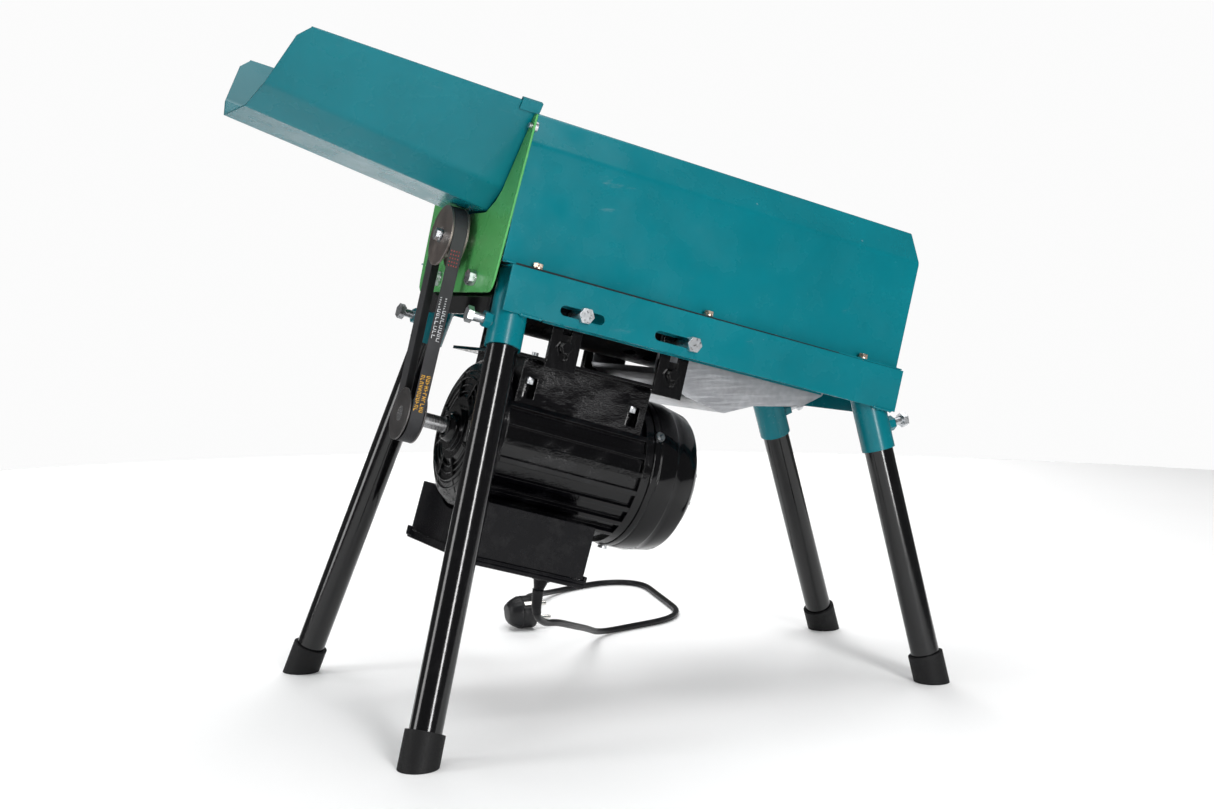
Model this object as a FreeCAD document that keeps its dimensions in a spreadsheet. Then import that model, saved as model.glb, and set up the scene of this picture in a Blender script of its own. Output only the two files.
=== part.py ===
import FreeCAD, Part
import math
import os
import re

from FreeCAD import Placement, Rotation, Vector
import Sketcher

# An electric corn sheller: a sloping rail frame on four splayed legs, a spiked
# drum in a perforated concave under a folded cover, a feed chute at the high
# end, and an electric motor hung below that drives the drum with a V-belt.
#
# Row frame: millimetres, +Z up, Z = 0 on the floor, Y = 0 in the middle plane,
# +X towards the cob outlet, X = 0 in the middle of the machine's length.
# Most pieces are drawn in the sloping body frame: "along" runs down the slope,
# "across" is Y, and "rise" is square to the rails, zero at the rails' top face.

SIZES = {
    # the whole machine
    "body_slope": (14.0, "angle of the rails to the floor, degrees"),
    "body_height": (410.6, "height of the body frame's origin"),
    "frame_shift": (143.61, "body frame's origin to the middle of the length"),
    "half_width": (114.0, "half the width over the rails"),
    # rails, cross members and sockets
    "rail_length": (422.0, "length of a side rail"),
    "rail_depth": (41.0, "height of a side rail"),
    "rail_flange": (28.0, "width of a side rail"),
    "steel": (2.0, "thickness of the frame's steel"),
    "inner_wall_start": (50.0, "front end of a rail's inner wall"),
    "inner_wall_end": (352.0, "rear end of a rail's inner wall"),
    "slot_rise": (-28.0, "height of the rails' slots"),
    "slot_half": (4.5, "half the width of a slot"),
    "slot_length": (44.0, "length of a slot"),
    "slot_front": (53.0, "start of the front slot"),
    "slot_rear": (149.0, "start of the rear slot"),
    "shelf_width": (36.0, "width of a cross member's top shelf"),
    "member_depth": (46.0, "height of a cross member"),
    "socket_radius": (16.3, "outer radius of a leg socket"),
    "socket_wall": (2.0, "wall of a leg socket"),
    # legs
    "leg_radius": (14.0, "outer radius of a leg tube"),
    "leg_wall": (1.5, "wall of a leg tube"),
    "leg_lift": (8.0, "leg tube's end above the floor, along its axis"),
    "foot_radius": (17.2, "outer radius of a rubber foot"),
    "foot_length": (29.0, "length of a rubber foot"),
    "fit_gap": (0.1, "gap in a fixed fit"),
    # cover and plates
    "sheet": (1.2, "thickness of the cover's sheet"),
    "cover_half": (104.0, "half the width of the cover"),
    "cover_bend": (107.5, "height of the cover's shoulder"),
    "cover_ridge": (139.0, "height of the cover's top"),
    "ridge_half": (80.0, "half the width of the cover's flat top"),
    "cover_start": (-6.5, "front edge of the cover"),
    "cover_length": (426.5, "length of the cover"),
    "plate_front": (-9.0, "front face of the feed plate"),
    "outlet_place": (411.0, "front face of the outlet plate"),
    # chute
    "chute_sheet": (1.5, "thickness of the chute's sheet"),
    "chute_back": (-7.5, "chute's end in the feed plate"),
    "chute_front": (-240.0, "chute's open end"),
    # rotor
    "rotor_rise": (20.5, "height of the rotor's axis"),
    "shaft_radius": (10.0, "radius of the rotor shaft"),
    "journal_radius": (7.5, "radius of a shaft in its bearing"),
    "running_gap": (0.05, "radial gap of a running fit"),
    "bearing_radius": (16.0, "outer radius of a bearing"),
    "bearing_width": (9.0, "width of a bearing"),
    "housing_radius": (22.5, "outer radius of a bearing housing"),
    "drum_radius": (52.0, "outer radius of the drum"),
    "drum_wall": (3.0, "wall of the drum"),
    "drum_start": (48.0, "front end of the drum"),
    "drum_length": (304.0, "length of the drum"),
    "peg_height": (14.0, "height of a threshing peg"),
    "concave_radius": (70.0, "outer radius of the concave"),
    "concave_wall": (1.5, "thickness of the concave"),
    "concave_start": (43.0, "front end of the concave"),
    "concave_length": (300.0, "length of the concave"),
    # belt drive
    "pulley_front": (-32.0, "front face of the pulleys"),
    "pulley_width": (17.0, "width of a pulley"),
    "rotor_pulley_radius": (28.5, "outer radius of the rotor's pulley"),
    "motor_pulley_radius": (24.5, "outer radius of the motor's pulley"),
    "belt_half": (6.3, "half the belt's top width"),
    "belt_depth": (8.0, "depth of the belt"),
    "groove_depth": (9.5, "depth of a pulley's groove"),
    "groove_half": (6.7, "half the rotor pulley's groove at the rim"),
    "groove_floor": (3.3, "half the rotor pulley's groove at its floor"),
    "sag_room": (0.7, "extra half width of the motor pulley's groove"),
    # motor
    "motor_rise": (-148.0, "height of the motor's axis"),
    "motor_sag": (2.0, "how far the motor's fan end hangs down, degrees"),
    "barrel_radius": (69.0, "radius of the motor's barrel"),
    "barrel_bore": (61.0, "bore of the motor's barrel"),
    "barrel_start": (46.0, "front end of the barrel"),
    "barrel_length": (142.0, "length of the barrel"),
    "rib_height": (4.5, "height of a cooling rib"),
    "rib_width": (5.0, "width of a cooling rib"),
    "stator_bore": (34.0, "bore of the stator"),
    "air_gap": (0.8, "gap between stator and rotor core"),
    "base_rise": (-74.0, "underside of the motor's base plate"),
    "base_sheet": (3.0, "thickness of the motor's base plate"),
    "base_start": (34.0, "front edge of the base plate"),
    "base_length": (164.0, "length of the base plate"),
    "bracket_across": (83.3, "inner face of a motor bracket"),
    "bracket_sheet": (2.6, "thickness of a motor bracket"),
    "bracket_half": (15.0, "half the width of a motor bracket"),
    "box_start": (40.0, "front face of the terminal box"),
    "box_length": (107.0, "length of the terminal box"),
    "box_half": (90.0, "half the width of the terminal box"),
    "box_floor": (-254.0, "open edge of the terminal box"),
    "lid_floor": (-262.0, "underside of the terminal box's lid"),
    # fasteners and cord
    "bolt_flats": (13.0, "width across flats of an M8 head"),
    "bolt_head": (5.3, "height of an M8 head"),
    "bolt_radius": (4.0, "radius of an M8 bolt"),
    "small_flats": (10.0, "width across flats of an M6 head"),
    "small_head": (4.0, "height of an M6 head"),
    "small_radius": (3.0, "radius of an M6 bolt"),
    "cover_flats": (8.0, "width across flats of a cover bolt's head"),
    "cover_head": (3.2, "height of a cover bolt's head"),
    "cover_radius": (2.4, "radius of a cover bolt"),
    "screw_radius": (2.5, "radius of an M5 screw"),
    "cord_radius": (3.5, "radius of the power cord"),
}

doc = FreeCAD.newDocument("corn_sheller")
table = doc.addObject("Spreadsheet::Sheet", "Sizes")
for row, (alias, (value, note)) in enumerate(SIZES.items(), start=1):
    table.set("A%d" % row, note)
    table.set("B%d" % row, str(value))
    table.setAlias("B%d" % row, alias)
doc.recompute()


def amount(text):
    """The value of a sum such as 'rail_length - 2*steel + 5'."""
    total, sign = 0.0, 1.0
    for word in str(text).split():
        if word in ("+", "-"):
            sign = 1.0 if word == "+" else -1.0
            continue
        product = sign
        if word[0] == "-":
            product, word = -sign, word[1:]
        for factor in word.split("*"):
            product *= float(SIZES[factor][0]) if factor in SIZES else float(factor)
        total += product
    return total


def formula(text):
    """The same sum as an expression on the spreadsheet."""
    return re.sub(r"[a-z_]+", lambda word: "Sizes." + word.group(0), str(text))


def bind(item, prop, text):
    item.setExpression(prop, formula(text))


SLOPE = math.radians(amount("body_slope"))
TILT = Placement(Vector(-amount("frame_shift"), 0, amount("body_height")),
                 Rotation(Vector(0, 1, 0), amount("body_slope")))
# The motor hangs a little nose up: its frame turns about the belt's plane.
BELT_PLACE = amount("pulley_front + 0.5*pulley_width")
SAG_PIVOT = Vector(BELT_PLACE, 0, amount("motor_rise"))
SAG = Placement(Vector(), Rotation(Vector(0, 1, 0), amount("motor_sag")), SAG_PIVOT)
MOTOR = TILT.multiply(SAG)
ALONG = Rotation(Vector(0, 1, 0), 90)
FAR = Rotation(Vector(1, 0, 0), -90)
NEAR = Rotation(Vector(1, 0, 0), 90)
UP = Rotation()
DOWN = Rotation(Vector(1, 0, 0), 180)
NODES = []


def tilted(along, across, rise):
    """A point of the sloping body frame, in the row frame."""
    return TILT.multVec(Vector(along, across, rise))


# ------------------------------------------------------------- primitives
def solid(kind, sizes, at=(0, 0, 0), turn=UP):
    item = doc.addObject("Part::" + kind, kind + "Piece")
    for prop, text in sizes.items():
        bind(item, prop, text)
    item.Placement = Placement(Vector(*[amount(text) for text in at]), turn)
    for axis, text in zip("xyz", at):
        bind(item, "Placement.Base." + axis, text)
    return item


def box(along, across, rise):
    """A box between pairs of coordinates."""
    pairs = (along, across, rise)
    sizes = {}
    for prop, (low, high) in zip(("Length", "Width", "Height"), pairs):
        sizes[prop] = "(%s) - (%s)" % (high, low)
    return solid("Box", sizes, [low for low, high in pairs])


def rod(radius, length, at, turn=UP):
    return solid("Cylinder", {"Radius": radius, "Height": length}, at, turn)


def hexagon(flats, height, at, turn=UP):
    """A hexagonal prism of a given width across flats."""
    item = solid("Prism", {"Circumradius": flats + "*0.57735", "Height": height}, at, turn)
    item.Polygon = 6
    return item


def fuse(items):
    item = doc.addObject("Part::MultiFuse", "Joined")
    item.Shapes = items
    return item


def cut(base, tools):
    item = doc.addObject("Part::Cut", "CutPiece")
    item.Base = base
    item.Tool = tools[0] if len(tools) == 1 else fuse(tools)
    return item


def tube(radius, bore, length, at, turn=UP):
    return cut(rod(radius, length, at, turn), [rod(bore, length, at, turn)])


def placed(item, spot):
    """Move a finished piece as a whole."""
    moved = doc.addObject("Part::Compound", "Moved")
    moved.Links = [item]
    moved.Placement = spot
    return moved


def node(label, items, spot=TILT):
    """A finished sub-part: one solid, or a group of identical ones."""
    item = doc.addObject("Part::Compound", "Node")
    item.Links = items
    item.Label = label
    item.Placement = spot
    if spot is TILT:
        bind(item, "Placement.Base.x", "-frame_shift")
        bind(item, "Placement.Base.z", "body_height")
        bind(item, "Placement.Rotation.Angle", "body_slope")
    NODES.append(item)
    return item


# ------------------------------------------------------- sketched bodies
def sketched(label, role, outline, holes=()):
    """A body with one sketch whose corners are bound to the sheet."""
    body = doc.addObject("PartDesign::Body", "Body")
    body.Label = label
    plane = [item for item in body.Origin.OriginFeatures if item.Role == role][0]
    sketch = body.newObject("Sketcher::SketchObject", "Sketch")
    sketch.AttachmentSupport = (plane, [""])
    sketch.MapMode = "FlatFace"
    corners = [Vector(amount(x), amount(y), 0) for x, y in outline]
    count = len(corners)
    for index in range(count):
        sketch.addGeometry(Part.LineSegment(corners[index], corners[(index + 1) % count]))
    for index in range(count):
        sketch.addConstraint(Sketcher.Constraint("Coincident", index, 2, (index + 1) % count, 1))
    for index, (x, y) in enumerate(outline):
        for kind, text in (("DistanceX", x), ("DistanceY", y)):
            rule = Sketcher.Constraint(kind, -1, 1, index, 1, amount(text))
            sketch.setExpression("Constraints[%d]" % sketch.addConstraint(rule), formula(text))
    for x, y, radius in holes:
        middle = Vector(amount(x), amount(y), 0)
        ring = sketch.addGeometry(Part.Circle(middle, Vector(0, 0, 1), amount(radius)))
        rules = (Sketcher.Constraint("DistanceX", -1, 1, ring, 3, amount(x)),
                 Sketcher.Constraint("DistanceY", -1, 1, ring, 3, amount(y)),
                 Sketcher.Constraint("Radius", ring, amount(radius)))
        for rule, text in zip(rules, (x, y, radius)):
            sketch.setExpression("Constraints[%d]" % sketch.addConstraint(rule), formula(text))
    return body, sketch


def settle(body, spot, frame=TILT):
    body.Placement = frame.multiply(spot)
    NODES.append(body)
    return body


def plate(label, outline, thickness, along, holes=()):
    """A flat plate square to the body's length, drawn as (across, rise)."""
    body, sketch = sketched(label, "YZ_Plane", outline, holes)
    pad = body.newObject("PartDesign::Pad", "Pad")
    pad.Profile = sketch
    bind(pad, "Length", thickness)
    return settle(body, Placement(Vector(amount(along), 0, 0), UP))


def turned(label, profile, rise, frame=TILT):
    """A round piece about an axis along the body, drawn as (along, radius)."""
    body, sketch = sketched(label, "XZ_Plane", profile)
    turn = body.newObject("PartDesign::Revolution", "Revolution")
    turn.Profile = sketch
    turn.ReferenceAxis = (sketch, ["H_Axis"])
    turn.Angle = 360
    return settle(body, Placement(Vector(0, 0, amount(rise)), UP), frame)


# ------------------------------------------------------------ bent sheet
def rounded(corners, radii):
    """Edges along the corners, with a tangent arc at each inner corner."""
    edges, start = [], corners[0]
    for index in range(1, len(corners) - 1):
        corner, radius = corners[index], radii[index - 1]
        before = (corners[index - 1] - corner).normalize()
        after = (corners[index + 1] - corner).normalize()
        half = before.getAngle(after) / 2.0
        if radius <= 0:
            edges.append(Part.LineSegment(start, corner).toShape())
            start = corner
            continue
        reach = radius / math.tan(half)
        first, last = corner + before * reach, corner + after * reach
        inward = (before + after).normalize()
        middle = corner + inward * (radius / math.sin(half) - radius)
        edges.append(Part.LineSegment(start, first).toShape())
        edges.append(Part.Arc(first, middle, last).toShape())
        start = last
    edges.append(Part.LineSegment(start, corners[-1]).toShape())
    return edges


def offset_corners(corners, distance, normal):
    """The corners of a line beside a flat polyline."""
    sides = []
    for first, second in zip(corners, corners[1:]):
        sides.append(normal.cross(second - first).normalize())
    moved = [corners[0] + sides[0] * distance]
    for index in range(1, len(corners) - 1):
        both = sides[index - 1] + sides[index]
        moved.append(corners[index] + both * (2 * distance / both.Length ** 2))
    moved.append(corners[-1] + sides[-1] * distance)
    return moved


def strip(corners, thickness, radii, normal):
    """The closed outline of a bent sheet seen on edge."""
    outer = offset_corners(corners, thickness, normal)
    outer_radii = []
    for index in range(1, len(corners) - 1):
        turn = (corners[index] - corners[index - 1]).cross(corners[index + 1] - corners[index])
        grow = -thickness if turn.dot(normal) > 0 else thickness
        radius = radii[index - 1]
        outer_radii.append(radius + grow if radius > 0 else 0)
    edges = rounded(corners, radii)
    edges.append(Part.LineSegment(corners[-1], outer[-1]).toShape())
    edges.extend(rounded(outer[::-1], outer_radii[::-1]))
    edges.append(Part.LineSegment(outer[0], corners[0]).toShape())
    return Part.Wire(edges)


def shaped(label, shape, spot=TILT):
    """A sub-part whose shape comes from Part's own functions."""
    item = doc.addObject("Part::Feature", "Shaped")
    item.Shape = shape
    item.Label = label
    item.Placement = spot
    NODES.append(item)
    return item


# --------------------------------------------------------------- bolts
def bolt(at, turn, length, size="bolt", washer=True):
    """A hexagon bolt: its head's underside is at a point, its shank along turn."""
    spot = Placement(Vector(*[amount(text) for text in at]), turn)
    parts = [hexagon(size + "_flats", size + "_head", (0, 0, "-" + size + "_head")),
             rod(size + "_radius", length, (0, 0, 0))]
    if washer:
        parts[0] = hexagon(size + "_flats", size + "_head", (0, 0, "-" + size + "_head - 1.4"))
        parts.append(rod(size + "_flats*0.55", 1.4, (0, 0, -1.4)))
    return placed(fuse(parts), spot)


def nut(at, turn, size="bolt"):
    """A hexagon nut that sits on its bolt with a small gap."""
    spot = Placement(Vector(*[amount(text) for text in at]), turn)
    block = hexagon(size + "_flats", size + "_head", (0, 0, 0))
    return placed(cut(block, [rod(size + "_radius + fit_gap", size + "_head", (0, 0, 0))]), spot)


# ============================================================ the frame
SIDES = (("near", -1), ("far", 1))

for side, sign in SIDES:
    if sign < 0:
        outer = ("-half_width", "-half_width + steel")
        whole = ("-half_width", "-half_width + rail_flange")
        inner = ("-half_width + rail_flange - steel", "-half_width + rail_flange")
    else:
        outer = ("half_width - steel", "half_width")
        whole = ("half_width - rail_flange", "half_width")
        inner = ("half_width - rail_flange", "half_width - rail_flange + steel")
    outer_wall = box((0, "rail_length"), outer, ("-rail_depth", 0))
    flange = box((0, "rail_length"), whole, ("-steel", 0))
    inner_wall = box(("inner_wall_start", "inner_wall_end"), inner, ("-rail_depth", 0))
    holes = []
    for start in ("slot_front", "slot_rear"):
        holes.append(box((start + " + slot_half", start + " + slot_length - slot_half"),
                         ("-half_width - 5", "half_width + 5"),
                         ("slot_rise - slot_half", "slot_rise + slot_half")))
        for end in (start + " + slot_half", start + " + slot_length - slot_half"):
            holes.append(rod("slot_half", "2*half_width + 10", (end, "-half_width - 5", "slot_rise"), FAR))
    node(side + "_side_rail", [cut(fuse([outer_wall, flange, inner_wall]), holes)])

# Each leg: its socket's mouth in the body frame, and its foot on the floor.
LEGS = {
    "front_near": ((12.0, -102.5, -72.6), (-114.0, -186.3)),
    "front_far": ((12.0, 102.5, -72.6), (-114.0, 186.3)),
    "rear_near": ((424.0, -98.0, -79.0), (442.0, -122.5)),
    "rear_far": ((424.0, 98.0, -79.0), (483.0, 138.0)),
}
CLAMP_LIFT = 21.0
SOCKET_LENGTH = 95.0
LEG_REACH = 60.0
feet, legs, clamps, sleeves = [], [], [], []


for name, (mouth, foot) in LEGS.items():
    low = tilted(*mouth)
    floor = Vector(foot[0] - amount("frame_shift"), foot[1], 0)
    lean = (low - floor).normalize()
    turn = Rotation(Vector(0, 0, 1), lean)
    outside = rod("socket_radius", SOCKET_LENGTH, (0, 0, 0))
    inside = rod("socket_radius - socket_wall", SOCKET_LENGTH, (0, 0, 0))
    outward = Vector(-1, 0, 0) if mouth[0] < 100 else Vector(1, 0, 0)
    outward = (outward - lean * outward.dot(lean)).normalize()
    spot = Placement(low, turn)
    local = turn.inverted().multVec(outward)
    aim = Rotation(Vector(0, 0, 1), local)
    start = local * 15.4 + Vector(0, 0, CLAMP_LIFT)
    boss = placed(hexagon("bolt_flats", "bolt_head + 2", (0, 0, 0)), Placement(start, aim))
    hole_start = start - local * 5
    hole = rod("bolt_radius + fit_gap", 45, (hole_start.x, hole_start.y, hole_start.z), aim)
    sleeve = placed(cut(fuse([outside, boss]), [inside, hole]), spot)
    trim = placed(box((-200, 700), (-300, 300), ("-steel - 0.3", 120)), TILT)
    node(name + "_leg_socket", [cut(sleeve, [trim])], spot=Placement())
    sleeves.append(placed(rod("socket_radius + 0.3", 130, (0, 0, 0)), TILT.inverse().multiply(spot)))
    reach = (low - floor).Length + LEG_REACH
    stand = Placement(floor, turn)
    pipe = tube("leg_radius", "leg_radius - leg_wall", reach - amount("leg_lift"),
                (0, 0, "leg_lift"))
    legs.append((name, placed(pipe, stand)))
    cap = cut(rod("foot_radius", "foot_length + 8", (0, 0, -8)),
              [rod("leg_radius + fit_gap", "foot_length", (0, 0, "leg_lift - fit_gap"))])
    ground = box((-900, 900), (-900, 900), (-60, 0))
    feet.append(cut(placed(cap, stand), [ground]))
    clamp_start = low + turn.multVec(local * 33.0 + Vector(0, 0, CLAMP_LIFT))
    clamps.append(bolt((clamp_start.x, clamp_start.y, clamp_start.z),
                       Rotation(Vector(0, 0, 1), outward * -1), 18.6, washer=False))

for name, pipe in legs:
    node(name + "_leg", [pipe], spot=Placement())
node("rubber_feet", feet, spot=Placement())
node("leg_clamp_bolts", clamps, spot=Placement())

front_web = box((0.3, "0.3 + steel"), (-80, 80), ("-member_depth", "-steel - 0.2"))
front_shelf = box((0.3, "0.3 + shelf_width"), (-80, 80), ("-2*steel - 0.2", "-steel - 0.2"))
front_holes = [rod("bolt_radius + fit_gap", 12, (-4, place, -15), ALONG) for place in (-50, 45)]
front_holes += [rod("small_radius + fit_gap", 12, (20, place, -8), UP) for place in (-35, 35)]
node("front_cross_member", [cut(fuse([front_web, front_shelf]), sleeves[:2] + front_holes)])
rear_web = box(("rail_length - 3 - steel", "rail_length - 3"), (-84, 84),
               ("-member_depth", "-steel - 0.2"))
rear_shelf = box(("rail_length - 3 - shelf_width", "rail_length - 3"), (-84, 84),
                 ("-2*steel - 0.2", "-steel - 0.2"))
rear_holes = [rod("small_radius + fit_gap", 12, (397, place, -8), UP) for place in (-35, 35)]
node("rear_cross_member", [cut(fuse([rear_web, rear_shelf]), sleeves[2:] + rear_holes)])

# ------------------------------------------------------- cover and plates
cover_line = []
for sign in (-1, 1):
    half = [("cover_half + 9.5", 1.5), ("cover_half", 1.5), ("cover_half", "cover_bend"),
            ("ridge_half", "cover_ridge")]
    points = [Vector(amount("cover_start"), sign * amount(y), amount(z)) for y, z in half]
    cover_line += points if sign < 0 else points[::-1]
COVER_BOLT = 110.3
cover_face = Part.Face(strip(cover_line, -amount("sheet"), [2.5, 9, 5, 5, 9, 2.5], Vector(1, 0, 0)))
cover_body = cover_face.extrude(Vector(amount("cover_length"), 0, 0))
for place in (25, 200, 375):
    for sign in (-1, 1):
        peg = Part.makeCylinder(amount("cover_radius + fit_gap"), 10, Vector(place, sign * COVER_BOLT, -4))
        cover_body = cover_body.cut(peg)
shaped("top_cover", cover_body)
node("cover_bolts", [bolt((place, sign * COVER_BOLT, 1.6), DOWN, 1.4, size="cover")
                     for place in (25, 200, 375) for sign in (-1, 1)])

# The feed plate: a U-shaped mouth takes the chute's end.
right_half = [("107.6", 131), ("70.6", 65.5), ("60", 55.5), ("42", 46.4)]
outline = [("-1*" + y, z) for y, z in right_half] + right_half[::-1]
outline += [(113, 131), (101.5, 4), (99.2, -16), (97, -23), (92, -27), (88, -27.6)]
outline += [(-88, -27.6), (-92, -27), (-97, -23), (-99.2, -16), (-101.5, 4), (-113, 131)]
plate("feed_plate", outline, "steel", "plate_front",
      holes=[(0, "rotor_rise", 9), (-50, -15, 4.1), (45, -15, 4.1), (-107, 121, 2.6), (107, 121, 2.6)])
plate_bolts = [bolt(("plate_front", place, -15), ALONG, 22) for place in (-50, 45)]
for place in (-107, 107):
    head = rod("2*screw_radius - 0.4", 3, (-6.9, place, 121), ALONG)
    shank = rod("screw_radius", 5.5, (-11.5, place, 121), ALONG)
    plate_bolts.append(fuse([head, shank]))
node("feed_plate_bolts", plate_bolts)

outlet_outline = [(102.3, 2.2), (102.3, "cover_bend - 2"), ("ridge_half - 2", "cover_ridge - 2"),
                  ("-ridge_half + 2", "cover_ridge - 2"), (-102.3, "cover_bend - 2"), (-102.3, 2.2),
                  (-70, 2.2), (-70, 92), (70, 92), (70, 2.2)]
plate("outlet_plate", outlet_outline, "steel", "outlet_place")

# ------------------------------------------------------------------ chute
def chute_wire(along, half):
    """The chute's section: its right half, from the rim down to the floor."""
    points = [Vector(along, -y, z) for y, z in half] + [Vector(along, y, z) for y, z in half[::-1]]
    return strip(points, amount("chute_sheet"), [14, 6, 6, 14], Vector(1, 0, 0))


back_end = chute_wire(amount("chute_back"), [(111, 139), (69, 68), (41, 48.5)])
front_end = chute_wire(amount("chute_front"), [(111, 143.5), (77, 95), (41, 76.5)])
chute = Part.makeLoft([back_end, front_end], True, True)
nose = [(-215, 150), (-215, 143), (-224, 134.5), (-235, 95), (-240, 76), (-240, 60), (-260, 60), (-260, 150)]
nose_wire = Part.makePolygon([Vector(x, -130, z) for x, z in nose + nose[:1]])
chute = chute.cut(Part.Face(nose_wire).extrude(Vector(0, 260, 0)))
shaped("feed_chute", chute)

def rim_hook(sign):
    """A clip folded over the chute's rim, which rests on the feed plate's top."""
    wall_up = Vector(0, sign * 42, 73).normalize()
    wall_out = Vector(0, sign * 73, -42).normalize()
    rim = Vector(-24, sign * 111, 139)
    line = [rim + wall_up * -7.5 + wall_out * 0.2, rim + wall_up * 1.5 + wall_out * 0.2,
            rim + wall_up * 1.5 - wall_out * 1.8, rim + wall_up * -7.5 - wall_out * 1.8]
    section = strip(line, -sign * amount("sheet"), [0, 0], Vector(1, 0, 0))
    return Part.Face(section).extrude(Vector(19, 0, 0))


shaped("chute_hooks", Part.makeCompound([rim_hook(-1), rim_hook(1)]))

# ------------------------------------------------------- bearings and rotor
def bearing_block(along):
    """A pillow block that stands on a cross member's shelf."""
    base = box((along - 12, along + 12), (-46, 46), ("-steel", "8 - steel"))
    body = rod("housing_radius", 24, (along - 12, 0, "rotor_rise"), ALONG)
    web = box((along - 12, along + 12), ("-housing_radius", "housing_radius"), ("-steel", "rotor_rise"))
    bore = rod("bearing_radius + fit_gap", "bearing_width + 15.5", (along - 12, 0, "rotor_rise"), ALONG)
    bolt_holes = [rod("small_radius + fit_gap", 30, (along, place, -10)) for place in (-35, 35)]
    return cut(fuse([base, body, web]), [bore] + bolt_holes)


node("front_bearing_housing", [bearing_block(20)])
node("rear_bearing_housing", [bearing_block(397)])
node("rotor_bearings", [tube("bearing_radius", "journal_radius + running_gap", "bearing_width",
                             (place, 0, "rotor_rise"), ALONG) for place in (12, 396)])
node("housing_bolts", [bolt((along, place, "8 - steel + 1.4"), DOWN, 13, size="small")
                       for along in (20, 397) for place in (-35, 35)])

turned("rotor_shaft", [(-31.6, 0), (-31.6, 7.4), (32, 7.4), (32, "shaft_radius"),
                       (372, "shaft_radius"), (372, "journal_radius"), (408, "journal_radius"), (408, 0)],
       "rotor_rise")

shell = tube("drum_radius", "drum_radius - drum_wall", "drum_length", ("drum_start", 0, "rotor_rise"), ALONG)
discs = [tube("drum_radius - 1", "shaft_radius + running_gap", 4, (place, 0, "rotor_rise"), ALONG)
         for place in ("drum_start", "drum_start + drum_length - 4")]
pegs = []
PEG_ROWS, PEGS_IN_ROW = 4, 9
for row in range(PEG_ROWS):
    for step in range(PEGS_IN_ROW):
        swing = 360.0 * row / PEG_ROWS + 12.0 * step
        peg = solid("Box", {"Length": 12, "Width": 8, "Height": "peg_height + 2"}, (0, -4, 0))
        lifted = placed(peg, Placement(Vector(0, 0, amount("drum_radius") - 2), UP))
        roll = Placement(Vector(amount("drum_start") + 14 + 32 * step, 0, amount("rotor_rise")),
                         Rotation(Vector(1, 0, 0), swing))
        pegs.append(placed(lifted, roll))
node("threshing_drum", [fuse([shell] + discs + pegs)])

concave_ring = tube("concave_radius", "concave_radius - concave_wall", "concave_length",
                    ("concave_start", 0, "rotor_rise"), ALONG)
above = box((0, 500), (-120, 120), (-3.8, 150))
lips = [box(("concave_start", "concave_start + concave_length"), pair, (-3.8, -2.3))
        for pair in ((-85, -64), (64, 85))]
sieve_holes = []
for step in range(14):
    for swing in (-48, -24, 0, 24, 48):
        place = Placement(Vector(amount("concave_start") + 16 + 22 * step, 0, amount("rotor_rise")),
                          Rotation(Vector(1, 0, 0), 180 + swing))
        sieve_holes.append(placed(rod(6.5, 90, (0, 0, 0)), place))
node("concave_sieve", [cut(fuse([cut(concave_ring, [above])] + lips), sieve_holes)])

# The grain pan: a deep tray under the rear half that falls to a spout on the far side.
PAN_HALF, PAN_TOP = 70.0, -10.0
floor_line = [Vector(x, -PAN_HALF, z) for x, z in
              ((178, -53.8), (180.5, -58), (216.8, -72.3), (260, -79), (290.5, -65.3), (343.6, -54.3),
               (364.6, -39.1), (362, PAN_TOP))]
pan = Part.Face(strip(floor_line, amount("sheet"), [3, 8, 8, 8, 8, 3], Vector(0, 1, 0)))
pan = pan.extrude(Vector(0, 2 * PAN_HALF, 0))
wall_line = floor_line + [Vector(178, -PAN_HALF, PAN_TOP), floor_line[0]]
near_wall = Part.Face(Part.makePolygon(wall_line)).extrude(Vector(0, amount("sheet"), 0))
far_wall = near_wall.translated(Vector(0, 2 * PAN_HALF - amount("sheet"), 0))
far_wall = far_wall.cut(Part.makeBox(66, 20, 60, Vector(214, 60, -74)))
hangers = [Part.makeBox(160, 15.7, amount("sheet"), Vector(178, low, PAN_TOP - amount("sheet")))
           for low in (-PAN_HALF - 15.7, PAN_HALF)]
shaped("grain_pan", pan.fuse([near_wall, far_wall] + hangers).removeSplitter())

# ------------------------------------------------------------ belt drive
def pulley(label, radius, bore, rise, frame=TILT, wide=False):
    """A V-pulley with one groove, a hub behind it and a thin rim."""
    front, back = "pulley_front", "pulley_front + pulley_width"
    middle = "pulley_front + 0.5*pulley_width"
    room_before, room_after = (" - sag_room", " + sag_room") if wide else ("", "")
    turned(label, [(front, bore), (front, radius), (middle + " - groove_half" + room_before, radius),
                   (middle + " - groove_floor" + room_before, radius + " - groove_depth"),
                   (middle + " + groove_floor" + room_after, radius + " - groove_depth"),
                   (middle + " + groove_half" + room_after, radius), (back, radius), (back, "14"),
                   (back + " + 4", "14"), (back + " + 4", bore)], rise, frame)


pulley("rotor_pulley", "rotor_pulley_radius", "7.45", "rotor_rise")
pulley("motor_pulley", "motor_pulley_radius", "7.05", "motor_rise", MOTOR, wide=True)
node("rotor_pulley_bolt", [bolt(("pulley_front - 0.1", 0, "rotor_rise"), ALONG, 0.05, size="small")])

rise_gap = amount("rotor_rise") - amount("motor_rise")
lean = math.asin((amount("rotor_pulley_radius") - amount("motor_pulley_radius")) / rise_gap)


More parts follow.
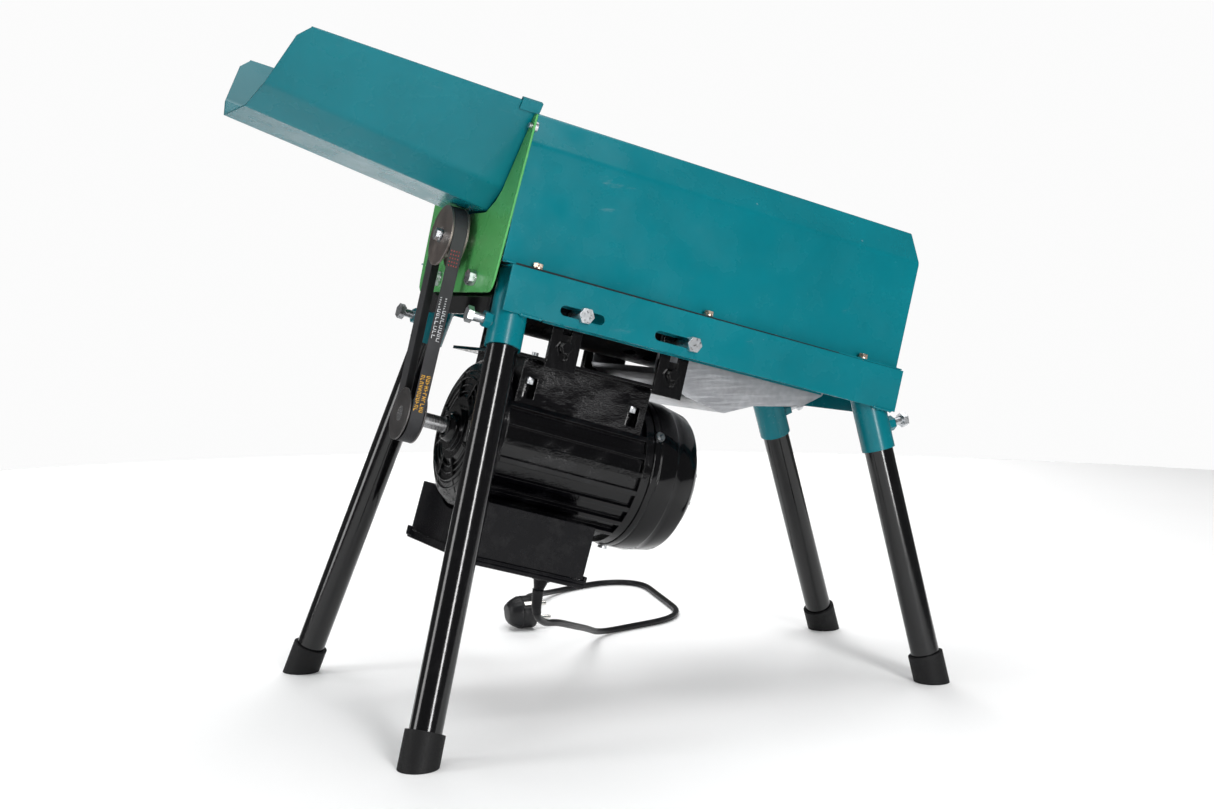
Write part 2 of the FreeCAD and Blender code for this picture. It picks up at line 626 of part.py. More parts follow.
def belt_spine(depth):
    """The belt's path at a depth under its outer face."""
    top, low = amount("rotor_pulley_radius") - depth, amount("motor_pulley_radius") - depth
    centres = (amount("rotor_rise"), amount("motor_rise"))

    def ends(radius, centre, sign):
        return Vector(BELT_PLACE, sign * radius * math.cos(lean), centre + radius * math.sin(lean))

    upper = [ends(top, centres[0], sign) for sign in (-1, 1)]
    lower = [ends(low, centres[1], sign) for sign in (-1, 1)]
    over = Vector(BELT_PLACE, 0, centres[0] + top)
    under = Vector(BELT_PLACE, 0, centres[1] - low)
    return Part.Wire([Part.Arc(upper[0], over, upper[1]).toShape(),
                      Part.LineSegment(upper[1], lower[1]).toShape(),
                      Part.Arc(lower[1], under, lower[0]).toShape(),
                      Part.LineSegment(lower[0], upper[0]).toShape()])


def belt_layer(low_depth, low_half, high_half, high_depth):
    """The trapezoid section of the belt, on its near side run."""
    out, rise = math.cos(lean), math.sin(lean)
    radius, centre = amount("rotor_pulley_radius"), amount("rotor_rise")

    def point(depth, along):
        reach = radius - depth
        return Vector(BELT_PLACE + along, -reach * out, centre + reach * rise)
    section = [point(low_depth, -low_half), point(low_depth, low_half),
               point(high_depth, high_half), point(high_depth, -high_half)]
    return Part.makePolygon(section + section[:1])


deep = amount("belt_depth")
narrow = amount("belt_half") - deep * math.tan(math.radians(20))
belt_section = belt_layer(0.0, amount("belt_half"), narrow, deep)
belt = belt_spine(0.0).makePipeShell([belt_section], True, False)
shaped("drive_belt", belt)

# ------------------------------------------------------------ motor mount
BRACKET_PLACES = (77.0, 188.4)
BRACKET_SLOT = (-66, -38)
for side, sign in SIDES:
    for end, place in zip(("front", "rear"), BRACKET_PLACES):
        flat = sorted(sign * amount(edge) for edge in ("bracket_across", "bracket_across + bracket_sheet"))
        half = amount("bracket_half")
        blade = box((place - half, place + half), (flat[0], flat[1]), (-79, -14))
        slot = [box((place - 4.5, place + 4.5), (flat[0] - 1, flat[1] + 1), BRACKET_SLOT)]
        slot += [rod(4.5, 6, (place, flat[0] - 1, rise), FAR) for rise in BRACKET_SLOT]
        slot.append(rod("bolt_radius + fit_gap", 6, (place, flat[0] - 1, "slot_rise"), FAR))
        node("%s_%s_bracket" % (end, side), [cut(blade, slot)])

rail_bolts = []
for sign, turn in ((-1, FAR), (1, NEAR)):
    for place in BRACKET_PLACES:
        rail_bolts.append(bolt((place, sign * 114.1, "slot_rise"), turn, 39, washer=False))
        rail_bolts.append(nut((place, sign * 83.2, "slot_rise"), turn))
node("rail_slot_bolts", rail_bolts)

base = box(("base_start", "base_start + base_length"), (-83, 83), ("base_rise", "base_rise + base_sheet"))
tabs = []
for place in BRACKET_PLACES:
    for low in (-83, 80):
        tabs.append(box((place - 14, place + 14), (low, low + 3), ("base_rise", "base_rise + 28")))
holes = [placed(rod("small_radius + fit_gap", 60, (along, across_at, -100)), SAG)
         for along in (61, 169) for across_at in (-54, 54)]
holes += [rod("small_radius + fit_gap", 200, (place, -100, -58), FAR) for place in BRACKET_PLACES]
window = box((95, 150), (-30, 30), ("base_rise - 5", "base_rise + 9"))
node("motor_base_plate", [cut(fuse([base] + tabs), holes + [window])])
base_bolts = []
for sign, turn in ((-1, FAR), (1, NEAR)):
    for place in BRACKET_PLACES:
        base_bolts.append(bolt((place, sign * 87.4, -58), turn, 13.5, size="small"))
        base_bolts.append(nut((place, sign * 79.9, -58), turn, size="small"))
node("base_plate_bolts", base_bolts)
node("motor_mount_bolts", [bolt((along, across_at, -87.5), UP, 24, size="small")
                           for along in (61, 169) for across_at in (-54, 54)], MOTOR)

# ------------------------------------------------------------------ motor
barrel = rod("barrel_radius", "barrel_length", ("barrel_start", 0, "motor_rise"), ALONG)
ribs = []
RIBS = 26
for index in range(RIBS):
    swing = 360.0 * (index + 0.5) / RIBS
    if abs(swing - 180) < 30 or min(swing, 360 - swing) < 58:
        continue
    rib = solid("Box", {"Length": "barrel_length", "Width": "rib_width", "Height": "rib_height + 3"},
                (0, "-0.5*rib_width", "barrel_radius - 3"))
    spot = Placement(Vector(amount("barrel_start"), 0, amount("motor_rise")),
                     Rotation(Vector(1, 0, 0), swing))
    ribs.append(placed(rib, spot))
feet_pads = [box((50, 182), pair, (-122, -60)) for pair in ((-61, -40), (40, 61))]
above_plate = placed(box((0, 300), (-120, 120), ("base_rise - 0.1", 0)), SAG.inverse())
bore = rod("barrel_bore", "barrel_length + 2", ("barrel_start - 1", 0, "motor_rise"), ALONG)
pad_holes = [rod("small_radius + fit_gap", 60, (along, across_at, -100))
             for along in (61, 169) for across_at in (-54, 54)]
recesses = [rod(9, 19, (along, across_at, -106))
            for along in (61, 169) for across_at in (-54, 54)]
node("motor_housing", [cut(fuse([barrel] + ribs + feet_pads), [bore, above_plate] + pad_holes + recesses)],
     MOTOR)

turned("front_end_bell", [(20, 8.2), (20, 22), (24, 22), (24, 30), (27, 34), (27, 52), (31, 64), (38, 70),
                          (45.8, 73), (45.8, 66), (38, 62), (36, 50), (36, 16.2), (25, 16.2), (25, 8.2)],
       "motor_rise", MOTOR)
turned("rear_end_bell", [(188.2, 66), (188.2, 73), (197, 73), (197, 71), (206, 71), (206, 8.2), (203, 8.2),
                         (203, 16.2), (194, 16.2), (194, 66)], "motor_rise", MOTOR)
node("stator_core", [tube("barrel_bore - 0.2", "stator_bore", 86, (74, 0, "motor_rise"), ALONG)],
     MOTOR)
node("motor_bearings", [tube("bearing_radius", "journal_radius + running_gap", "bearing_width",
                             (place, 0, "motor_rise"), ALONG) for place in (25.3, 194)],
     MOTOR)
turned("motor_shaft", [(-31.8, 0), (-31.8, 7), (12, 7), (12, "journal_radius"), (34.6, "journal_radius"),
                       (34.6, 12), (192, 12), (192, "journal_radius"), (228, "journal_radius"), (228, 0)],
       "motor_rise", MOTOR)
node("rotor_core", [tube("stator_bore - air_gap", 12.05, 90, (72, 0, "motor_rise"), ALONG)],
     MOTOR)

hub = tube(14, "journal_radius + running_gap", 20, (208, 0, "motor_rise"), ALONG)
disc = tube(62, 13, 2.5, (208, 0, "motor_rise"), ALONG)
blades = []
BLADES = 8
for index in range(BLADES):
    blade = box((2, 20), (-1, 1), (13, 62))
    spot = Placement(Vector(208, 0, amount("motor_rise")),
                     Rotation(Vector(1, 0, 0), 360.0 * index / BLADES))
    blades.append(placed(blade, spot))
node("cooling_fan", [fuse([hub, disc] + blades)], MOTOR)

turned("fan_cover", [(197.4, 71.4), (197.4, 74), (232, 74), (246, 70), (257, 54), (261, 40),
                     (262.5, 20), (262.5, 12), (260.8, 12), (260.8, 20), (259.4, 39.4),
                     (255.4, 52.6), (244.8, 68.4), (231.6, 72.2), (206.4, 72.2), (206.4, 71.4)], "motor_rise",
       MOTOR)
SCREW_PLACE, SCREW_SEAT = 201.5, 74.03
screws = []
for swing in (28, 148, 268):
    head = rod(4.6, 2.6, (0, 0, 0.2))
    shank = rod(2.2, 3, (0, 0, 0))
    outward = Rotation(Vector(1, 0, 0), swing - 90)
    seat = outward.multVec(Vector(0, 0, SCREW_SEAT)) + Vector(SCREW_PLACE, 0, amount("motor_rise"))
    screws.append(placed(fuse([head, shank]), Placement(seat, outward)))
node("fan_cover_screws", screws, MOTOR)

# ----------------------------------------------------------- terminal box
shell = box(("box_start", "box_start + box_length"), ("-box_half", "box_half"), ("box_floor + 0.2", -205))
hollow = box(("box_start + 3", "box_start + box_length - 3"), ("-box_half + 3", "box_half - 3"),
             ("box_floor", -228))
seat = rod("barrel_radius + rib_height + 0.4", 200, (0, 0, "motor_rise"), ALONG)
node("terminal_box", [cut(shell, [hollow, seat])], MOTOR)
lid = box(("box_start - 2.5", "box_start + box_length + 2.5"), ("-box_half - 2.5", "box_half + 2.5"),
          ("lid_floor", "box_floor"))
lid_hollow = box(("box_start + 2", "box_start + box_length - 2"), ("-box_half + 2", "box_half - 2"),
                 ("lid_floor + 3", "box_floor + 1"))
GLAND = (137.0, -24.0)
gland_hole = rod(6.2, 12, (GLAND[0], GLAND[1], "lid_floor - 4"))
node("terminal_box_lid", [cut(lid, [lid_hollow, gland_hole])], MOTOR)
node("run_capacitor", [rod(10, 62, (70, side, -246), ALONG) for side in (-70, 70)], MOTOR)
gland_nut = hexagon("bolt_flats*1.3", 5, (GLAND[0], GLAND[1], "lid_floor - 5"))
gland_neck = solid("Cone", {"Radius1": 4.6, "Radius2": 7.2, "Height": 9},
                   (GLAND[0], GLAND[1], "lid_floor - 14"))
gland_thread = rod(6.1, 8, (GLAND[0], GLAND[1], "lid_floor - 0.5"))
gland_bore = rod("cord_radius + 0.05", 40, (GLAND[0], GLAND[1], "lid_floor - 13.9"))
node("cable_gland", [cut(fuse([gland_nut, gland_neck, gland_thread]), [gland_bore])], MOTOR)

# ---------------------------------------------------------- cord and plug
shift = amount("frame_shift")
gland_end = MOTOR.multVec(Vector(GLAND[0], GLAND[1], amount("lid_floor") - 14))
ROUTE = [(56.8, -24, 92.4), (66, -8, 76), (98, 24, 62), (140, 76, 45), (187, 143, 25), (231, 209, 3.8),
         (283, 226, 3.6), (338, 243, 3.6), (370, 281, 3.6), (383, 334, 3.6), (397, 396, 3.6),
         (410, 450, 3.6), (385, 494, 3.6), (336, 482, 3.6), (290, 462, 3.6), (255, 426, 9),
         (222, 382, 17), (201, 348, 22), (188, 328, 22)]
route = [gland_end] + [Vector(x - shift, y, z) for x, y, z in ROUTE]
radii = []
for before, corner, after in zip(route, route[1:], route[2:]):
    first, second = corner - before, after - corner
    turn = first.getAngle(second)
    radii.append(0.45 * min(first.Length, second.Length) / math.tan(turn / 2))
spine = Part.Wire(rounded(route, radii))
start_circle = Part.Circle(route[0], (route[1] - route[0]).normalize(), amount("cord_radius")).toShape()
cord = spine.makePipeShell([Part.Wire(start_circle)], True, False)
print("cord length", round(spine.Length, 1), "exit", gland_end)
shaped("power_cord", cord, spot=Placement())

# The plug lies on its side; its pins point along +X and its neck leaves sideways.
PLUG = Vector(160 - shift, 284, 19.0)
neck_end = route[-1]
neck_aim = (route[-2] - route[-1]).normalize()
grip = Part.makeCylinder(18.8, 19, PLUG + Vector(3, 0, 0), Vector(1, 0, 0))
back = Part.makeCone(13, 18.8, 13, PLUG + Vector(-10, 0, 0), Vector(1, 0, 0))
neck_start = PLUG + Vector(-1, 10, 2)
neck_line = neck_end - neck_start
neck = Part.makeCone(8.5, 4.6, neck_line.Length, neck_start, neck_line)
end_cut = Part.makeBox(60, 60, 40, Vector(-30, -30, 0))
end_cut.Placement = Placement(neck_end, Rotation(Vector(0, 0, 1), neck_aim))
plug = grip.fuse([back, neck]).cut(end_cut)
groove = Part.makeBox(20, 6, 5, PLUG + Vector(5, -3, 15.2))
plug = plug.cut(groove).cut(groove.mirror(PLUG, Vector(0, 0, 1))).removeSplitter()
PIN_SPACING, PIN_RADIUS, PIN_LENGTH = 19.0, 2.4, 19.0
HALF_TURN = math.sqrt(0.5)
pin_spots = [PLUG + Vector(22.1, place * HALF_TURN, place * HALF_TURN)
             for place in (-PIN_SPACING / 2, PIN_SPACING / 2)]
pins = [Part.makeCylinder(PIN_RADIUS, PIN_LENGTH, spot, Vector(1, 0, 0)) for spot in pin_spots]
shaped("plug_body", plug, spot=Placement())
shaped("plug_pins", Part.makeCompound(pins), spot=Placement())

# ================================================================ output
doc.recompute()
for item in doc.Objects:
    if "Invalid" in item.State or "Error" in item.State:
        raise RuntimeError("%s (%s) failed: %s" % (item.Name, item.Label, item.State))
os.makedirs("parts", exist_ok=True)
extent = FreeCAD.BoundBox()
for item in NODES:
    shape = item.Shape
    if shape.isNull() or not shape.isValid() or shape.Volume <= 0:
        raise RuntimeError("%s has a bad shape, volume %s" % (item.Label, shape.Volume))
    if item.Label not in ("power_cord", "plug_body", "plug_pins"):
        extent.add(shape.BoundBox)
    shape.exportStep("parts/%s.step" % item.Label)
print(len(NODES), "nodes; middle of the length", round(extent.Center.x, 2), "box", extent)
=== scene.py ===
import math
import random

import bmesh
import bpy
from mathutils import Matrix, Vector


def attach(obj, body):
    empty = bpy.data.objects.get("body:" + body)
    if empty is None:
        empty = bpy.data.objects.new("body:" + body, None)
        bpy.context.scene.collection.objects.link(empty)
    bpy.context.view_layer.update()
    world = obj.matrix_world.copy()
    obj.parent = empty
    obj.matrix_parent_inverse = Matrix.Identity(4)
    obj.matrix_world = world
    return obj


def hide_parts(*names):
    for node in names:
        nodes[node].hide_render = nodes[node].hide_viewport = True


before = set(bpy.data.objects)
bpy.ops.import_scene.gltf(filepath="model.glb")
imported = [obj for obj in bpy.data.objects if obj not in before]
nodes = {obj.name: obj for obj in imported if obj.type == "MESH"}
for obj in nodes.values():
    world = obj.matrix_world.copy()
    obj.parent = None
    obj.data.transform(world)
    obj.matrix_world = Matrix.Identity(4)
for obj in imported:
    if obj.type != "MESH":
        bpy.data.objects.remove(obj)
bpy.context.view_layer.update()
MM = 0.001

# A point at x in part.py's own frame is at x - ROW_SHIFT in the row frame, in millimetres.
ROW_SHIFT = 143.61

# The sloping body frame of the machine, in the row frame.
SLOPE = math.radians(14.0)
BODY_ORIGIN = Vector((-ROW_SHIFT * MM, 0.0, 0.4106))
DOWNHILL = Vector((math.cos(SLOPE), 0.0, -math.sin(SLOPE)))
RISE = Vector((math.sin(SLOPE), 0.0, math.cos(SLOPE)))
ACROSS = Vector((0.0, 1.0, 0.0))


def sloped(along, across, rise):
    """A point of the body frame, given in millimetres, in the row frame."""
    return BODY_ORIGIN + (DOWNHILL * along + ACROSS * across + RISE * rise) * MM


# The belt's middle and the two shafts, in the body frame.
BELT_ALONG, ROTOR_RISE, MOTOR_RISE = -23.5, 20.5, -148.0
# The motor hangs a little further down at its fan end.
SAG = math.radians(2.0)


def hung(along, across, rise):
    """A point of the motor's own frame, given in millimetres, in the row frame."""
    reach, lift = along - BELT_ALONG, rise - MOTOR_RISE
    return sloped(BELT_ALONG + reach * math.cos(SAG) + lift * math.sin(SAG), across,
                  MOTOR_RISE - reach * math.sin(SAG) + lift * math.cos(SAG))


# ---------------------------------------------------------------- materials
class Graph:
    """A Principled material with short calls for its nodes."""

    def __init__(self, name):
        self.material = bpy.data.materials.new(name)
        self.material.use_nodes = True
        self.tree = self.material.node_tree
        self.shader = self.tree.nodes["Principled BSDF"]

    def node(self, kind, inputs=(), **props):
        made = self.tree.nodes.new("ShaderNode" + kind)
        for name, value in props.items():
            setattr(made, name, value)
        for key, value in dict(inputs).items():
            if isinstance(value, bpy.types.NodeSocket):
                self.tree.links.new(value, made.inputs[key])
            else:
                made.inputs[key].default_value = value
        return made

    def place(self, offset=(0, 0, 0), turn=(0, 0, 0), stretch=(1, 1, 1)):
        """Object coordinates, moved, turned and stretched."""
        coord = self.node("TexCoord")
        return self.node("Mapping", {"Vector": coord.outputs["Object"], "Location": offset,
                                     "Rotation": turn, "Scale": stretch}).outputs[0]

    def noise(self, vector, scale, detail=3.0, rough=0.55):
        return self.node("TexNoise", {"Vector": vector, "Scale": scale, "Detail": detail,
                                      "Roughness": rough}).outputs["Fac"]

    def span(self, value, low, high, start=0.0, end=1.0):
        return self.node("MapRange", {"Value": value, "From Min": low, "From Max": high,
                                      "To Min": start, "To Max": end}).outputs[0]

    def math(self, operation, first, second=0.5):
        return self.node("Math", {0: first, 1: second}, operation=operation).outputs[0]

    def times(self, first, second):
        return self.math("MULTIPLY", first, second)

    def mix(self, factor, first, second):
        made = self.node("Mix", {"Factor": factor}, data_type="RGBA")
        for socket, value in ((made.inputs[6], first), (made.inputs[7], second)):
            if isinstance(value, bpy.types.NodeSocket):
                self.tree.links.new(value, socket)
            else:
                socket.default_value = (*value, 1.0)
        return made.outputs[2]

    def bevel(self, radius):
        return self.node("Bevel", {"Radius": radius}, samples=4).outputs[0]

    def bump(self, height, strength, distance, normal=None):
        inputs = {"Height": height, "Strength": strength, "Distance": distance}
        if normal is not None:
            inputs["Normal"] = normal
        return self.node("Bump", inputs).outputs[0]

    def edges(self, radius):
        """1 on sharp edges, 0 elsewhere."""
        soft = self.bevel(radius)
        plain = self.node("NewGeometry").outputs["Normal"]
        same = self.node("VectorMath", {0: soft, 1: plain}, operation="DOT_PRODUCT")
        return self.span(same.outputs["Value"], 0.985, 0.90)

    def finish(self, color, rough, metal=0.0, normal=None, coat=0.0, coat_rough=0.05, ior=1.5):
        shader = self.shader
        for name, value in (("Base Color", color), ("Roughness", rough), ("Metallic", metal)):
            if isinstance(value, bpy.types.NodeSocket):
                self.tree.links.new(value, shader.inputs[name])
            elif name == "Base Color":
                shader.inputs[name].default_value = (*value, 1.0)
            else:
                shader.inputs[name].default_value = value
        if normal is not None:
            self.tree.links.new(normal, shader.inputs["Normal"])
        shader.inputs["Coat Weight"].default_value = coat
        shader.inputs["Coat Roughness"].default_value = coat_rough
        shader.inputs["IOR"].default_value = ior
        return self.material


def shade(color, factor):
    return tuple(channel * factor for channel in color)


def gloss_paint(name, color, rough=0.24, edge=0.9 * MM, worn=(0.30, 0.32, 0.33), chips=0.5,
                dust=(0.5, 0.5, 0.48)):
    """Sprayed gloss paint: slow colour drift, orange peel, scuffs, dust, chips on edges."""
    g = Graph(name)
    spot = g.place()
    drift = g.noise(spot, 9.0, 4.0)
    tone = g.mix(g.span(drift, 0.3, 0.7), shade(color, 0.88), shade(color, 1.10))
    scuff = g.noise(g.place(turn=(0.0, 0.24, 0.4), stretch=(6.0, 240.0, 30.0)), 2.4, 5.0, 0.7)
    scuffed = g.times(g.span(scuff, 0.66, 0.74), 0.09)
    tone = g.mix(scuffed, tone, dust)
    chip = g.times(g.edges(edge), g.span(g.noise(spot, 140.0, 4.0), 0.58, 0.66))
    tone = g.mix(g.times(chip, chips), tone, worn)
    specks = g.times(g.span(g.noise(spot, 210.0, 1.0), 0.79, 0.81), g.span(drift, 0.5, 0.6))
    tone = g.mix(g.times(specks, 0.7), tone, (0.55, 0.60, 0.60))
    smear = g.span(g.noise(spot, 26.0, 5.0), 0.3, 0.75, rough * 0.8, rough * 1.5)
    peel = g.bump(g.noise(spot, 330.0, 2.0), 0.10, 0.4 * MM, g.bevel(edge))
    return g.finish(tone, smear, 0.0, peel, coat=0.03, coat_rough=0.08, ior=1.36)


def black_gloss(name, color=(0.002, 0.002, 0.0025), rough=0.11, edge=0.8 * MM, ior=1.5):
    """Baked black enamel with faint dust and fine scratches."""
    g = Graph(name)
    spot = g.place()
    dust = g.times(g.span(g.noise(spot, 60.0, 6.0, 0.7), 0.55, 0.85), 0.035)
    tone = g.mix(dust, color, (0.16, 0.16, 0.165))
    lines = g.noise(g.place(turn=(0.3, 0.1, 0.0), stretch=(300.0, 300.0, 8.0)), 2.0, 4.0, 0.7)
    smear = g.span(lines, 0.3, 0.8, rough * 0.7, rough * 1.9)
    peel = g.bump(g.noise(spot, 260.0, 2.0), 0.08, 0.4 * MM, g.bevel(edge))
    return g.finish(tone, smear, 0.0, peel, coat=0.03, coat_rough=0.04, ior=ior)


def cast_enamel(name, rough=0.12):
    """Black enamel over a sand casting: patches of fine pits that sparkle, smooth paint between."""
    g = Graph(name)
    spot = g.place()
    grain = g.noise(spot, 620.0, 2.0, 0.6)
    patches = g.span(g.noise(g.place(stretch=(16.0, 26.0, 26.0)), 1.6, 3.0), 0.42, 0.62)
    height = g.times(grain, patches)
    tone = g.mix(g.span(height, 0.3, 0.7), (0.001, 0.001, 0.0015), (0.008, 0.008, 0.009))
    return g.finish(tone, g.span(patches, 0.0, 1.0, rough, rough * 1.7), 0.0,
                    g.bump(height, 0.6, 0.7 * MM, g.bevel(1.2 * MM)), ior=1.42)


def zinc(name, color=(0.62, 0.64, 0.66), rough=0.28, edge=0.4 * MM):
    """Bright zinc plate with a patchy passivated film."""
    g = Graph(name)
    spot = g.place()
    patch = g.noise(spot, 130.0, 4.0)
    tone = g.mix(g.span(patch, 0.35, 0.7), shade(color, 0.78), color)
    smear = g.span(g.noise(spot, 420.0, 4.0), 0.3, 0.7, rough * 0.8, rough * 1.6)
    return g.finish(tone, smear, 1.0, g.bump(patch, 0.12, 0.3 * MM, g.bevel(edge)))


def galvanised(name):
    """Hot-dip zinc: soft crystals a few millimetres wide, cloudy stains and drawing streaks."""
    g = Graph(name)
    spot = g.place()
    cells = g.node("TexVoronoi", {"Vector": spot, "Scale": 260.0, "Randomness": 1.0},
                   feature="SMOOTH_F1")
    tint = g.node("SeparateColor", {"Color": cells.outputs["Color"]}).outputs[0]
    tone = g.mix(tint, (0.36, 0.37, 0.39), (0.46, 0.47, 0.49))
    stain = g.span(g.noise(spot, 22.0, 5.0), 0.45, 0.75)
    tone = g.mix(g.times(stain, 0.45), tone, (0.22, 0.22, 0.235))
    streaks = g.noise(g.place(turn=(0.0, SLOPE, 0.0), stretch=(14.0, 10.0, 320.0)), 2.0, 4.0, 0.6)
    tone = g.mix(g.times(g.span(streaks, 0.5, 0.7), 0.25), tone, (0.62, 0.63, 0.65))
    smear = g.span(streaks, 0.3, 0.7, 0.30, 0.46)
    waves = g.bump(g.noise(spot, 70.0, 3.0), 0.16, 1.2 * MM, g.bevel(1.0 * MM))
    return g.finish(tone, smear, 0.9, waves)


def turned_steel(name, centre, tilt, color=(0.20, 0.165, 0.15)):
    """A lathe-turned face: fine rings about the shaft, with a brown film of oil."""
    g = Graph(name)
    spot = g.node("VectorRotate", {"Vector": g.place(offset=tuple(-c for c in centre)),
                                   "Angle": -tilt, "Axis": (0, 1, 0)},
                  rotation_type="AXIS_ANGLE").outputs[0]
    split = g.node("SeparateXYZ", {"Vector": spot})
    y, z = split.outputs["Y"], split.outputs["Z"]
    radius = g.math("SQRT", g.math("ADD", g.times(y, y), g.times(z, z)))
    ring = g.node("TexNoise", {"W": radius, "Scale": 2600.0, "Detail": 2.0},
                  noise_dimensions="1D").outputs["Fac"]
    film = g.noise(g.place(), 70.0, 5.0)
    tone = g.mix(g.span(film, 0.3, 0.75), shade(color, 0.75), shade(color, 1.5))
    tone = g.mix(g.times(g.span(ring, 0.5, 0.75), 0.35), tone, (0.42, 0.39, 0.37))
    bright = g.times(g.edges(0.5 * MM), 0.7)
    tone = g.mix(bright, tone, (0.62, 0.60, 0.58))
    lathed = g.bump(ring, 0.22, 0.2 * MM, g.bevel(0.4 * MM))
    return g.finish(tone, g.span(film, 0.3, 0.7, 0.30, 0.48), 0.85, lathed)


def bright_steel(name, color=(0.55, 0.55, 0.56), rough=0.2):
    """Ground or plated metal with fine lines square to the shafts."""
    g = Graph(name)
    lines = g.noise(g.place(turn=(0, SLOPE, 0), stretch=(900.0, 12.0, 12.0)), 3.0, 3.0)
    tone = g.mix(g.span(lines, 0.3, 0.7), shade(color, 0.8), color)
    brushed = g.bump(lines, 0.1, 0.1 * MM, g.bevel(0.3 * MM))
    return g.finish(tone, g.span(lines, 0.3, 0.7, rough, rough * 1.8), 1.0, brushed)


def rough_iron(name, color=(0.14, 0.135, 0.13), rough=0.6, metal=0.6):
    """Bare or scuffed iron: a coarse grain with patches of rust."""
    g = Graph(name)
    spot = g.place()
    grain = g.noise(spot, 380.0, 5.0, 0.65)
    rust = g.times(g.span(g.noise(spot, 45.0, 6.0), 0.55, 0.8), 0.5)
    tone = g.mix(rust, g.mix(grain, shade(color, 0.7), shade(color, 1.4)), (0.16, 0.07, 0.03))
    pitted = g.bump(grain, 0.4, 0.5 * MM, g.bevel(0.8 * MM))
    return g.finish(tone, g.span(grain, 0.3, 0.7, rough * 0.8, rough), metal, pitted)


def laminations(name):
    """Stacked sheets, light and dark once a millimetre, square to the machine's slope."""
    g = Graph(name)
    spot = g.place(turn=(0, SLOPE, 0))
    along = g.node("SeparateXYZ", {"Vector": spot}).outputs["X"]
    sheets_per_metre = 1000.0
    layer = g.math("PINGPONG", g.times(along, sheets_per_metre), 0.5)
    tone = g.mix(g.span(layer, 0.0, 0.5), (0.12, 0.12, 0.13), (0.42, 0.42, 0.43))
    return g.finish(tone, 0.45, 0.9, g.bump(layer, 0.4, 0.3 * MM))


def moulded(name, color, rough=0.38, grain=0.25, scale=700.0, edge=0.6 * MM, ior=1.28):
    """Moulded plastic or rubber with fine spark texture and handling dust."""
    g = Graph(name)
    spot = g.place()
    spark = g.noise(spot, scale, 3.0, 0.6)
    dust = g.times(g.span(g.noise(spot, 40.0, 6.0, 0.7), 0.5, 0.8), 0.07)
    tone = g.mix(dust, color, (0.20, 0.20, 0.195))
    tone = g.mix(g.times(g.edges(edge), 0.3), tone, shade(color, 4.0))
    smear = g.span(spark, 0.3, 0.7, rough * 0.85, min(1.0, rough * 1.35))
    return g.finish(tone, smear, 0.0, g.bump(spark, grain, 0.3 * MM, g.bevel(edge)), ior=ior)


def belt_cloth(name):
    """The rubberised cloth wrap of a V-belt: a close diagonal weave."""
    g = Graph(name)
    diagonal, threads = 0.785, 620.0
    spot = g.place(turn=(diagonal, 0.0, 0.0))
    weft, warp = [g.node("TexWave", {"Vector": spot, "Scale": threads, "Distortion": 0.6},
                         bands_direction=way).outputs["Fac"] for way in ("Y", "Z")]
    weave = g.times(weft, warp)
    dust = g.span(g.noise(g.place(), 45.0, 5.0), 0.4, 0.8)
    tone = g.mix(g.times(dust, 0.35), (0.012, 0.012, 0.014), (0.050, 0.052, 0.058))
    woven = g.bump(weave, 0.3, 0.3 * MM, g.bevel(0.5 * MM))
    return g.finish(tone, g.span(weave, 0.0, 1.0, 0.62, 0.5), 0.0, woven)


def ink(name, color):
    """Thin print that has sunk unevenly into the belt's cloth."""
    g = Graph(name)
    broken = g.span(g.noise(g.place(), 900.0, 3.0), 0.42, 0.58)
    tone = g.mix(broken, shade(color, 0.6), color)
    return g.finish(tone, g.span(broken, 0.0, 1.0, 0.8, 0.55), 0.0)


TEAL = (0.0, 0.148, 0.182)
GREEN = (0.085, 0.37, 0.105)
teal = gloss_paint("teal_gloss_paint", TEAL)
green = gloss_paint("green_gloss_paint", GREEN, worn=(0.25, 0.62, 0.25), chips=0.8, edge=1.3 * MM)
enamel = black_gloss("black_enamel")
casting = cast_enamel("cast_motor_enamel")
fan_paint = black_gloss("fan_cover_enamel", rough=0.09, edge=1.2 * MM, ior=1.38)
bright_zinc = zinc("bright_zinc")
yellow_zinc = zinc("yellow_zinc", (0.74, 0.58, 0.46), 0.26)
spangle = galvanised("galvanised_sheet")
ground = bright_steel("ground_steel")
iron = rough_iron("bare_iron")
drum_iron = rough_iron("scuffed_black_drum", (0.015, 0.015, 0.016), 0.45, 0.4)
stack = laminations("lamination_stack")
cloth = belt_cloth("belt_cloth")
foot_rubber = moulded("foot_rubber", (0.008, 0.008, 0.0085), 0.55, 0.30, 900.0, 1.2 * MM)
plastic = moulded("black_plastic", (0.003, 0.003, 0.004), 0.16, 0.10, 800.0, 0.8 * MM, ior=1.25)
plug_plastic = moulded("plug_plastic", (0.006, 0.006, 0.007), 0.38, 0.22, 900.0, 0.6 * MM, ior=1.4)
fan_plastic = moulded("fan_plastic", (0.012, 0.012, 0.013), 0.42)
cord_skin = moulded("cord_rubber", (0.007, 0.007, 0.008), 0.36, 0.20, 1500.0, 0.2 * MM)
nickel = bright_steel("nickel_plate", (0.72, 0.70, 0.66), 0.16)
rotor_hub = turned_steel("turned_rotor_pulley", sloped(BELT_ALONG, 0, ROTOR_RISE), SLOPE)
motor_hub = turned_steel("turned_motor_pulley", sloped(BELT_ALONG, 0, MOTOR_RISE), SLOPE + SAG,
                         (0.09, 0.085, 0.085))

